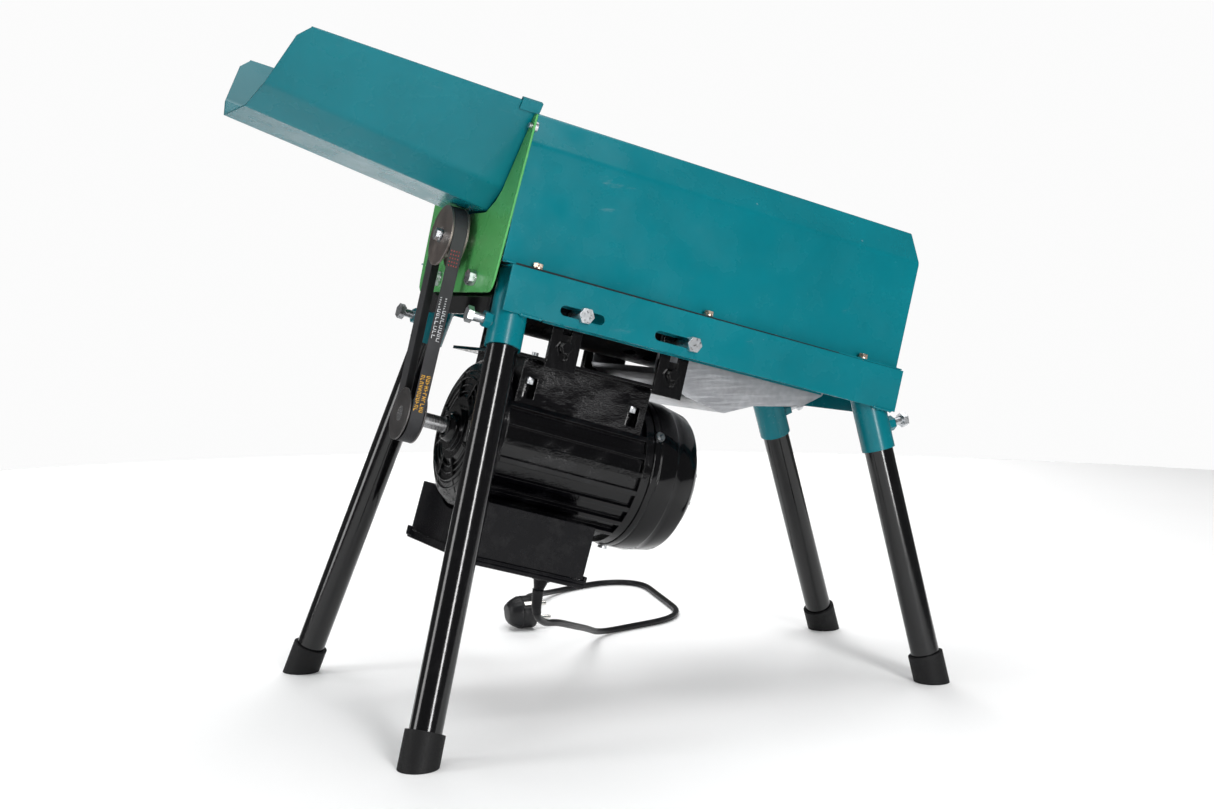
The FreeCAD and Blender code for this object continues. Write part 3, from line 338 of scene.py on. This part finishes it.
LOOKS = {
    teal: ("near_side_rail", "far_side_rail", "front_near_leg_socket", "front_far_leg_socket",
           "rear_near_leg_socket", "rear_far_leg_socket", "top_cover", "feed_chute",
           "chute_hooks", "outlet_plate", "rear_cross_member"),
    green: ("feed_plate",),
    enamel: ("front_cross_member", "front_near_leg", "front_far_leg", "rear_near_leg",
             "rear_far_leg", "front_near_bracket", "front_far_bracket", "rear_near_bracket",
             "rear_far_bracket", "motor_base_plate", "base_plate_bolts"),
    drum_iron: ("threshing_drum", "concave_sieve"),
    fan_paint: ("fan_cover",),
    casting: ("motor_housing", "front_end_bell", "rear_end_bell"),
    spangle: ("grain_pan",),
    bright_zinc: ("leg_clamp_bolts", "feed_plate_bolts", "rail_slot_bolts", "housing_bolts",
                  "motor_mount_bolts", "fan_cover_screws", "rotor_pulley_bolt"),
    yellow_zinc: ("cover_bolts",),
    rotor_hub: ("rotor_pulley",),
    motor_hub: ("motor_pulley",),
    ground: ("rotor_shaft", "motor_shaft", "rotor_bearings", "motor_bearings"),
    iron: ("front_bearing_housing", "rear_bearing_housing"),
    stack: ("stator_core", "rotor_core"),
    cloth: ("drive_belt",),
    foot_rubber: ("rubber_feet",),
    plastic: ("terminal_box", "terminal_box_lid", "run_capacitor", "cable_gland", "plug_body"),
    fan_plastic: ("cooling_fan",),
    cord_skin: ("power_cord",),
    nickel: ("plug_pins",),
}
for look, names in LOOKS.items():
    for name in names:
        for place in nodes[name].material_slots:
            place.material = look


# ------------------------------------------------------------------ pieces
def add_object(name, data):
    made = bpy.data.objects.new(name, data)
    bpy.context.scene.collection.objects.link(made)
    return made


def mesh_of(name, build, smooth=True):
    made = bmesh.new()
    build(made)
    bmesh.ops.recalc_face_normals(made, faces=made.faces)
    mesh = bpy.data.meshes.new(name)
    made.to_mesh(mesh)
    made.free()
    if smooth:
        mesh.shade_smooth()
    return mesh


def piece(body, name, build, look, smooth=True):
    """A new mesh piece that rides on a body and takes its finish from a material slot."""
    made = add_object(name, mesh_of(name, build, smooth))
    made.data.materials.append(look)
    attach(made, body)
    return made


def soften(made, width, angle=35.0):
    """Round the edges that are sharper than an angle, to a width in millimetres."""
    bevel = made.modifiers.new("soft_edges", "BEVEL")
    bevel.width = width * MM
    bevel.segments = 2
    bevel.limit_method = "ANGLE"
    bevel.angle_limit = math.radians(angle)
    return made


def turns(count):
    """The angles of count even steps round a circle."""
    return [2 * math.pi * k / count for k in range(count)]


def add_ring(bm, middle, side, up, radius, sides):
    return [bm.verts.new(middle + (side * math.cos(a) + up * math.sin(a)) * radius)
            for a in turns(sides)]


def skin(bm, rings, capped=True):
    """Faces between each ring and the next, and one over each end."""
    for first, second in zip(rings, rings[1:]):
        count = len(first)
        for k in range(count):
            after = (k + 1) % count
            bm.faces.new((first[k], first[after], second[after], second[k]))
    if capped:
        bm.faces.new(rings[0][::-1])
        bm.faces.new(rings[-1])


def add_block(bm, corner, u, v, w):
    """A box from one corner and its three edges."""
    verts = [bm.verts.new(corner + u * i + v * j + w * k)
             for i in (0, 1) for j in (0, 1) for k in (0, 1)]
    for face in ((0, 1, 3, 2), (4, 6, 7, 5), (0, 4, 5, 1), (2, 3, 7, 6), (0, 2, 6, 4),
                 (1, 5, 7, 3)):
        bm.faces.new([verts[index] for index in face])


BEAD_SIDES = 8


def add_bead(bm, points, radius, rng):
    """A weld bead: a tube with ripples and small ends that follows points."""
    rings, last = [], len(points) - 1
    for index, point in enumerate(points):
        ahead = points[min(index + 1, last)] - points[max(index - 1, 0)]
        ahead.normalize()
        side = ahead.orthogonal().normalized()
        end = 0.35 if index in (0, last) else 1.0
        size = radius * end * (1.0 + 0.16 * math.sin(index * 1.9) + rng.uniform(-0.08, 0.08))
        rings.append(add_ring(bm, point, side, ahead.cross(side), size, BEAD_SIDES))
    skin(bm, rings)


# Print on the belt's near run: plain bars and dots, nothing that can be read. Down the run a
# place is a share of its length, and along the machine it is in millimetres.
ROTOR_PITCH, MOTOR_PITCH = 28.5, 24.5
LEAN = math.asin((ROTOR_PITCH - MOTOR_PITCH) / (ROTOR_RISE - MOTOR_RISE))
RUN_TOP = (-ROTOR_PITCH * math.cos(LEAN), ROTOR_RISE + ROTOR_PITCH * math.sin(LEAN))
RUN_LOW = (-MOTOR_PITCH * math.cos(LEAN), MOTOR_RISE + MOTOR_PITCH * math.sin(LEAN))
PRINT_PROUD = 0.08


def on_belt(down, side):
    """A point on the belt's near face: a share of the run down, and millimetres along."""
    across = RUN_TOP[0] + (RUN_LOW[0] - RUN_TOP[0]) * down
    rise = RUN_TOP[1] + (RUN_LOW[1] - RUN_TOP[1]) * down
    return sloped(BELT_ALONG + side, across - PRINT_PROUD, rise)


def add_mark(bm, top, low, left, right):
    """One plain rectangle of print."""
    bm.faces.new([bm.verts.new(on_belt(down, side)) for down, side in
                  ((top, left), (top, right), (low, right), (low, left))])


def red_dots(bm):
    """Five rows of four dots."""
    high, wide = 0.007, 0.9
    for row in range(5):
        for column in range(4):
            top, left = 0.085 + 0.020 * row, -4.6 + 2.5 * column
            add_mark(bm, top, top + high, left, left + wide)


def white_bars(bm):
    """Two columns of brackets, small at the top and larger below."""
    rng = random.Random(4)
    stroke, spine, gap = 0.0035, 0.7, 0.007
    for left in (-4.4, 0.7):
        top = 0.345
        while top < 0.565:
            small = top < 0.40
            length = rng.uniform(0.004, 0.008) if small else rng.uniform(0.012, 0.022)
            width = 1.6 if small else 3.2
            add_mark(bm, top, top + stroke, left, left + width)
            add_mark(bm, top, top + length, left, left + spine)
            if rng.random() < 0.6:
                add_mark(bm, top + length - stroke, top + length, left, left + width)
            top += length + gap


def yellow_bars(bm):
    """Two columns of block signs, each a few crossed bars."""
    rng = random.Random(7)
    stroke, spine, gap, width = 0.0028, 0.7, 0.0065, 3.6
    for left in (-4.9, 0.5):
        top = 0.775
        while top < 0.975:
            high = rng.uniform(0.011, 0.014)
            add_mark(bm, top, top + stroke, left, left + width)
            if rng.random() < 0.6:
                add_mark(bm, top + high - stroke, top + high, left, left + width)
            middle = left + rng.choice((0.0, 1.5, 2.9))
            add_mark(bm, top, top + high, middle, middle + spine)
            top += high + gap


for name, build, color in (("belt_red_print", red_dots, (0.42, 0.035, 0.03)),
                           ("belt_white_print", white_bars, (0.80, 0.81, 0.83)),
                           ("belt_yellow_print", yellow_bars, (0.95, 0.50, 0.02))):
    piece("frame", name, build, ink(name + "_ink", color), smooth=False)

# The painted seam shadow is widest at the cover's high end: (along, top) of the gap, in the body
# frame.
SEAM = [(along, 1.75 - 0.9 * share) for share, along in ((0.0, 3.0), (0.5, 170.0), (1.0, 345.0))]
SEAM_OUTER, SEAM_INNER, SEAM_FOOT = 113.85, 113.4, 0.1


def seam_shadow_strips(bm):
    """Painted shadow: a dark strip that stands in for the shade in the gap under the edge of the
    cover's flange, which closes towards the low end.
    """
    for sign in (-1, 1):
        outer, inner = sign * SEAM_OUTER, sign * SEAM_INNER
        skin(bm, [[bm.verts.new(sloped(along, across, rise)) for across, rise in
                   ((outer, SEAM_FOOT), (inner, SEAM_FOOT), (inner, top), (outer, top))]
                  for along, top in SEAM])


# A dark strip in the gap under the cover's flange is painted shadow; there is no part there.
piece("frame", "cover_seam_shadow", seam_shadow_strips, foot_rubber, smooth=False)

WELD_STARTS, WELD_FACE, WELD_RISE = (16.0, 396.0), 113.6, -41.0
BEAD_RADIUS, BEAD_STEP, BEAD_STEPS = 1.5, 1.5, 16


def socket_beads(bm):
    """Weld beads where the leg sockets meet the side rails."""
    rng = random.Random(11)
    for start in WELD_STARTS:
        for sign in (-1, 1):
            points = [sloped(start + step * BEAD_STEP, sign * WELD_FACE, WELD_RISE)
                      for step in range(BEAD_STEPS)]
            add_bead(bm, points, BEAD_RADIUS * MM, rng)


piece("frame", "socket_welds", socket_beads, teal)

# ----------------------------------------------------------- motor castings
LARGE_SIDES, SMALL_SIDES = 120, 96


def add_turned(bm, profile, sides=LARGE_SIDES):
    """A closed profile of (along, radius) in millimetres, turned about the motor's shaft."""
    rings = [[bm.verts.new(hung(along, radius * math.sin(a), MOTOR_RISE + radius * math.cos(a)))
              for a in turns(sides)] for along, radius in profile]
    skin(bm, rings + rings[:1], capped=False)


def add_rib(bm, angle, half, line):
    """A radial rib: line gives (along, radius) on its face and how thick it is there."""
    side = (math.cos(angle) * half, -math.sin(angle) * half)
    skin(bm, [[bm.verts.new(hung(at, radius * math.sin(angle) + sign * side[0],
                                 MOTOR_RISE + radius * math.cos(angle) + sign * side[1]))
               for at, sign in ((along, -1), (along, 1), (along + thick, 1), (along + thick, -1))]
              for along, radius, thick in line])


COVER_WALL = ((197.4, 71.8), (197.4, 73.6), (197.9, 74.0), (203.2, 74.0), (203.9, 73.2),
              (204.9, 73.2), (205.6, 73.8), (222.5, 73.8), (223.8, 73.1), (225.0, 72.3),
              (230.0, 72.1), (232.5, 71.6), (245.0, 69.2), (247.2, 67.6), (256.0, 54.6),
              (257.3, 52.0), (255.8, 51.0), (254.4, 53.4), (245.6, 66.4), (244.0, 67.6),
              (231.6, 70.0), (205.0, 71.6))
# The line of the cover's end, from its rim to its middle: (radius, along).
END_LINE = ((54.0, 257.0), (40.0, 261.0), (20.0, 262.4), (12.0, 262.4))
GRILLE_WALL, GRILLE_RINGS, RING_HALF = 1.5, (45.0, 37.0, 29.0, 21.0, 14.0), 1.6
SPOKES, SPOKE_LINE, SPOKE_HALF, SPOKE_PROUD = 12, (53.2, 40.0, 20.0, 14.0), 1.7, 0.05


def end_at(radius):
    """How far along the cover's end stands at a radius."""
    for (out, low), (inner, high) in zip(END_LINE, END_LINE[1:]):
        if radius >= inner:
            return low + (high - low) * (out - radius) / (out - inner)
    return END_LINE[-1][1]


def cover_form(bm):
    """The pressed fan cover: lip, stepped barrel, cone, and an end grille of rings and spokes."""
    add_turned(bm, COVER_WALL)
    for middle in GRILLE_RINGS:
        out, inner = middle + RING_HALF, middle - RING_HALF
        add_turned(bm, [(end_at(out), out), (end_at(inner), inner),
                        (end_at(inner) - GRILLE_WALL, inner), (end_at(out) - GRILLE_WALL, out)],
                   SMALL_SIDES)
    spoke = [(end_at(radius) - GRILLE_WALL, radius, GRILLE_WALL + SPOKE_PROUD)
             for radius in SPOKE_LINE]
    for index in range(SPOKES):
        add_rib(bm, math.radians(360 / SPOKES * (index + 0.5)), SPOKE_HALF, spoke)


cover = piece("motor", "fan_cover_pressing", cover_form, fan_paint)
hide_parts("fan_cover")
soften(cover, 0.3)

SHAFT_COLLAR = ((13.4, 9.0), (13.4, 12.0), (14.4, 13.2), (20.2, 15.5), (20.2, 9.0))
# Each cast ring's radius, where the bell's face is there, and how high the ring stands.
CAST_RINGS = ((36.0, 27.2, 2.0), (42.5, 27.2, 1.6), (49.5, 27.2, 2.2), (57.0, 29.2, 1.8))
CAST_RIB = ((23.0, 30.0, 3.0), (25.6, 50.0, 2.0), (30.0, 63.0, 1.6))
CAST_RIBS, CAST_RIB_HALF = 8, 1.6
RING_FOOT_HALF, RING_TOP_HALF, RING_SLOPE = 1.7, 0.7, 0.8


def bell_form(bm):
    """Cast rings, ribs, and a shaft collar on the front bell."""
    add_turned(bm, SHAFT_COLLAR, SMALL_SIDES)
    for radius, foot, height in CAST_RINGS:
        add_turned(bm, [(foot, radius - RING_FOOT_HALF), (foot - height, radius - RING_TOP_HALF),
                        (foot - height, radius + RING_TOP_HALF),
                        (foot + RING_SLOPE, radius + RING_FOOT_HALF)], SMALL_SIDES)
    for index in range(CAST_RIBS):
        add_rib(bm, math.radians(360 / CAST_RIBS * (index + 0.5)), CAST_RIB_HALF, CAST_RIB)


soften(piece("motor", "bell_castings", bell_form, casting), 0.5)

# Half of the lid's section as (across, rise), and its lugs, in the motor's own frame.
LID_FLANK = ((92.4, -254.1), (92.5, -255.4), (91.4, -255.9), (91.4, -257.5), (92.4, -258.0),
             (92.3, -260.2), (90.6, -261.9))
LID_ENDS = (37.6, 149.4)
LUG_ENDS, LUG_SIDES = (34.6, 149.2), (-88.0, 80.0)
LUG_THICK, LUG_WIDE, LUG_LOW, LUG_TOP = 3.2, 8, -259.5, -250.5


def lid_form(bm):
    """The terminal box's lid: a tray whose long flanks step twice, with two lugs at each end."""
    section = [(-y, t) for y, t in LID_FLANK] + [(y, t) for y, t in reversed(LID_FLANK)]
    skin(bm, [[bm.verts.new(hung(along, y, t)) for y, t in section] for along in LID_ENDS])
    for along in LUG_ENDS:
        for across in LUG_SIDES:
            corner = hung(along, across, LUG_LOW)
            add_block(bm, corner, hung(along + LUG_THICK, across, LUG_LOW) - corner,
                      hung(along, across + LUG_WIDE, LUG_LOW) - corner,
                      hung(along, across, LUG_TOP) - corner)


lid = piece("motor", "terminal_box_tray", lid_form, plastic, smooth=False)
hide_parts("terminal_box_lid")
soften(lid, 0.5)

# ------------------------------------------------------------ cord and plug
# The cord's route in part.py's own frame, in millimetres: out of the terminal box, down to the
# floor, round one wide turn, and up to the plug.
ROUTE = [(57.2, -21.5, 83), (78, 6, 66), (104, 32, 60), (140, 76, 45), (187, 143, 25),
         (231, 209, 3.8), (283, 226, 3.6), (338, 243, 3.6), (370, 281, 3.6), (383, 334, 3.6),
         (397, 396, 3.6), (410, 450, 3.6), (398, 481, 3.6), (367, 491, 3.6), (331, 480, 3.6),
         (290, 462, 3.6), (255, 426, 9), (222, 382, 17), (201, 348, 22), (188, 328, 22)]
CORD_EXIT = hung(137.0, -24.0, -276.0)
route = [CORD_EXIT] + [Vector((x - ROW_SHIFT, y, z)) * MM for x, y, z in ROUTE]
CORD_RADIUS = 3.5 * MM

line = bpy.data.curves.new("mains_cord", "CURVE")
line.dimensions = "3D"
spline = line.splines.new("NURBS")
spline.points.add(len(route) - 1)
for point, spot in zip(spline.points, route):
    point.co = (*spot, 1.0)
spline.order_u = 3
spline.use_endpoint_u = True
spline.resolution_u = 12
line.bevel_depth = CORD_RADIUS
line.bevel_resolution = 6
line.use_fill_caps = True
line.materials.append(cord_skin)
cord = add_object("mains_cord", line)
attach(cord, "motor")
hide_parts("power_cord")

PLUG = Vector((160.0 - ROW_SHIFT, 284.0, 19.0)) * MM
# The grip's (along, radius), from its back to its face.
GRIP_LINE = ((-9.5, 7.0), (-9.0, 10.0), (-7.0, 12.6), (-3.0, 15.2), (1.0, 17.2), (3.0, 18.0),
             (4.6, 18.4), (5.2, 17.7), (6.4, 17.7), (7.0, 18.5), (20.6, 18.5), (21.6, 18.1),
             (22.0, 17.2))
GRIP_SIDES = 96
EARTH_SIDES = (math.radians(135.0), math.radians(315.0))
GROOVE_HALF, GROOVE_FLOOR, GROOVE_START = math.radians(21.0), 15.6, 4.9
# Each earth strip, and its end that folds in over the plug's face.
STRIP_WIDE, STRIP_THICK, STRIP_START, STRIP_LONG, STRIP_OUT = 4.8, 1.2, 7.5, 15.0, 15.3
FOLD_THICK, FOLD_START, FOLD_LONG, FOLD_OUT = 0.7, 21.9, 7.0, 9.5


def grip_radius(along, radius, angle):
    """The grip's radius at an angle: grooved for the earth strips, and ridged at its back."""
    for side in EARTH_SIDES:
        away = abs((angle - side + math.pi) % (2 * math.pi) - math.pi)
        if away < GROOVE_HALF and along > GROOVE_START:
            return min(radius, GROOVE_FLOOR / math.cos(away))
    return radius * (1.0 - 0.012 * math.cos(16 * angle)) if -7.0 < along < 4.0 else radius


def plug_form(bm):
    """A round earthed plug: rounded back, ridged grip, and two grooves for the earth strips."""
    rings = []
    for along, radius in GRIP_LINE:
        sizes = [(angle, grip_radius(along, radius, angle)) for angle in turns(GRIP_SIDES)]
        rings.append([bm.verts.new(PLUG + Vector((along, size * math.cos(angle),
                                                  size * math.sin(angle))) * MM)
                      for angle, size in sizes])
    skin(bm, rings)


NECK_STEPS, NECK_SIDES = 36, 28
NECK_RADIUS, NECK_TAPER, NECK_GROOVE = 8.3, 3.9, 0.55


def plug_neck(bm):
    """The ribbed bend relief that runs from the plug's back to the cord."""
    start = PLUG + Vector((-1.0, 10.0, 2.0)) * MM
    reach = route[-1] - start
    aim, length = reach.normalized(), reach.length
    side = aim.orthogonal().normalized()
    up = aim.cross(side)
    rings = []
    for step in range(NECK_STEPS + 1):
        share = step / NECK_STEPS
        radius = (NECK_RADIUS - NECK_TAPER * share) * MM
        if 0.35 < share < 0.95 and step % 3 == 0:
            radius -= NECK_GROOVE * MM
        rings.append(add_ring(bm, start + aim * length * share, side, up, radius, NECK_SIDES))
    skin(bm, rings)


def earth_strips(bm):
    """Each earth strip lies in its groove and folds in over the plug's face."""
    for side in EARTH_SIDES:
        out = Vector((0.0, math.cos(side), math.sin(side)))
        flank = Vector((0.0, -math.sin(side), math.cos(side)))
        half = flank * (STRIP_WIDE / 2)
        for start, long, lift, high in ((STRIP_START, STRIP_LONG, STRIP_OUT, STRIP_THICK),
                                        (FOLD_START, FOLD_THICK, FOLD_OUT, FOLD_LONG)):
            corner = PLUG + (Vector((start, 0, 0)) + out * lift - half) * MM
            add_block(bm, corner, Vector((long, 0, 0)) * MM, flank * STRIP_WIDE * MM,
                      out * high * MM)


plug = piece("motor", "plug_grip", plug_form, plug_plastic)
neck = piece("motor", "plug_bend_relief", plug_neck, cord_skin)
earth = piece("motor", "plug_earth_strips", earth_strips, nickel, smooth=False)
soften(plug, 0.5, angle=30.0)
soften(earth, 0.25, angle=30.0)
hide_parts("plug_body")


def cord_points(length):
    """The points of the cord's own line, from its exit as far as a length along it."""
    bare = line.copy()
    bare.bevel_depth = 0.0
    probe = bpy.data.objects.new("cord_probe", bare)
    mesh = bpy.data.meshes.new_from_object(probe)
    points, run = [mesh.vertices[0].co.copy()], 0.0
    for vertex in list(mesh.vertices)[1:]:
        step = (vertex.co - points[-1]).length
        if run + step > length:
            points.append(points[-1].lerp(vertex.co, (length - run) / step))
            break
        points.append(vertex.co.copy())
        run += step
    bpy.data.objects.remove(probe)
    bpy.data.meshes.remove(mesh)
    bpy.data.curves.remove(bare)
    return points


SLEEVE_SIDES, SLEEVE_STEPS, SLEEVE_LENGTH = 24, 26, 26.0 * MM
SLEEVE_RADIUS, SLEEVE_TAPER, SLEEVE_RIB = 5.8, 1.5, 0.45


def exit_sleeve(bm):
    """A tapered, ribbed sleeve that follows the cord where it leaves the terminal box."""
    points = cord_points(SLEEVE_LENGTH)
    runs = [0.0]
    for first, second in zip(points, points[1:]):
        runs.append(runs[-1] + (second - first).length)
    side, rings = ACROSS, []
    for step in range(SLEEVE_STEPS + 1):
        share = step / SLEEVE_STEPS
        goal = share * runs[-1]
        index = max(1, next((k for k, run in enumerate(runs) if run >= goal - 1e-9),
                            len(runs) - 1))
        low, high = runs[index - 1], runs[index]
        middle = points[index - 1].lerp(points[index], (goal - low) / (high - low))
        ahead = (points[index] - points[index - 1]).normalized()
        side = (side - ahead * side.dot(ahead)).normalized()
        radius = (SLEEVE_RADIUS - SLEEVE_TAPER * share - SLEEVE_RIB * (step % 2)) * MM
        rings.append(add_ring(bm, middle, side, ahead.cross(side), radius, SLEEVE_SIDES))
    skin(bm, rings)


sleeve = piece("motor", "cord_exit_sleeve", exit_sleeve, cord_skin)

# --------------------------------------------------------- floor and lights
FLOOR_RADIUS, FLOOR_TOP, FLOOR_SIDES = 2.3, -0.0002, 128


def floor_disc(bm):
    bm.faces.new([bm.verts.new((FLOOR_RADIUS * math.cos(a), FLOOR_RADIUS * math.sin(a), FLOOR_TOP))
                  for a in turns(FLOOR_SIDES)])


floor = add_object("floor", mesh_of("floor", floor_disc, smooth=False))
floor_look = Graph("pale_floor")
floor_tone = floor_look.mix(floor_look.noise(floor_look.place(), 3.0), (0.93, 0.93, 0.93),
                            (0.96, 0.96, 0.96))
floor.data.materials.append(floor_look.finish(floor_tone, 0.8))

# The camera sees a white backdrop, and everything else gets a dimmer fill from it.
BACKDROP, FILL = 0.97, 0.13
world = bpy.data.worlds.new("studio")
bpy.context.scene.world = world
world.use_nodes = True
sky = world.node_tree
seen, fill = sky.nodes["Background"], sky.nodes.new("ShaderNodeBackground")
for shader, strength in ((seen, BACKDROP), (fill, FILL)):
    shader.inputs["Color"].default_value = (1.0, 1.0, 1.0, 1.0)
    shader.inputs["Strength"].default_value = strength
choose = sky.nodes.new("ShaderNodeMixShader")
sky.links.new(sky.nodes.new("ShaderNodeLightPath").outputs["Is Camera Ray"], choose.inputs[0])
sky.links.new(fill.outputs[0], choose.inputs[1])
sky.links.new(seen.outputs[0], choose.inputs[2])
sky.links.new(choose.outputs[0], sky.nodes["World Output"].inputs["Surface"])

MIDDLE = Vector((0.0, 0.0, 0.32))


def softbox(name, spot, size, watts, mirrored=True):
    """A rectangular light that faces the machine's middle."""
    light = bpy.data.lights.new(name, "AREA")
    light.shape = "RECTANGLE"
    light.size, light.size_y = size
    light.energy = watts
    made = add_object(name, light)
    made.location = spot
    made.visible_glossy = mirrored
    made.rotation_mode = "QUATERNION"
    made.rotation_quaternion = (MIDDLE - Vector(spot)).to_track_quat("-Z", "Y")


softbox("front_strip", (-0.05, -2.6, 0.85), (0.40, 2.3), 66)
softbox("top_box", (0.1, 0.3, 2.7), (2.6, 2.2), 58)
softbox("left_box", (-2.7, 0.4, 1.0), (0.8, 1.8), 26)
softbox("back_box", (0.9, 2.6, 1.3), (1.6, 1.6), 46, mirrored=False)

# ------------------------------------------------------------------- camera
CAMERA_SPOT = Vector((-0.67281, -1.4310, 0.3899))
YAW, PITCH = math.radians(25.17), math.radians(-4.1)
LENS, SENSOR, CLIP_NEAR, CLIP_FAR = 48.387, 36.0, 0.05, 50.0
camera = add_object("camera", bpy.data.cameras.new("camera"))
camera.data.lens = LENS
camera.data.sensor_width = SENSOR
camera.data.clip_start, camera.data.clip_end = CLIP_NEAR, CLIP_FAR
camera.location = CAMERA_SPOT
camera.rotation_mode = "QUATERNION"
aim = Vector((math.sin(YAW) * math.cos(PITCH), math.cos(YAW) * math.cos(PITCH), math.sin(PITCH)))
camera.rotation_quaternion = aim.to_track_quat("-Z", "Y")
bpy.context.scene.camera = camera
bpy.context.scene.view_settings.view_transform = "Standard"
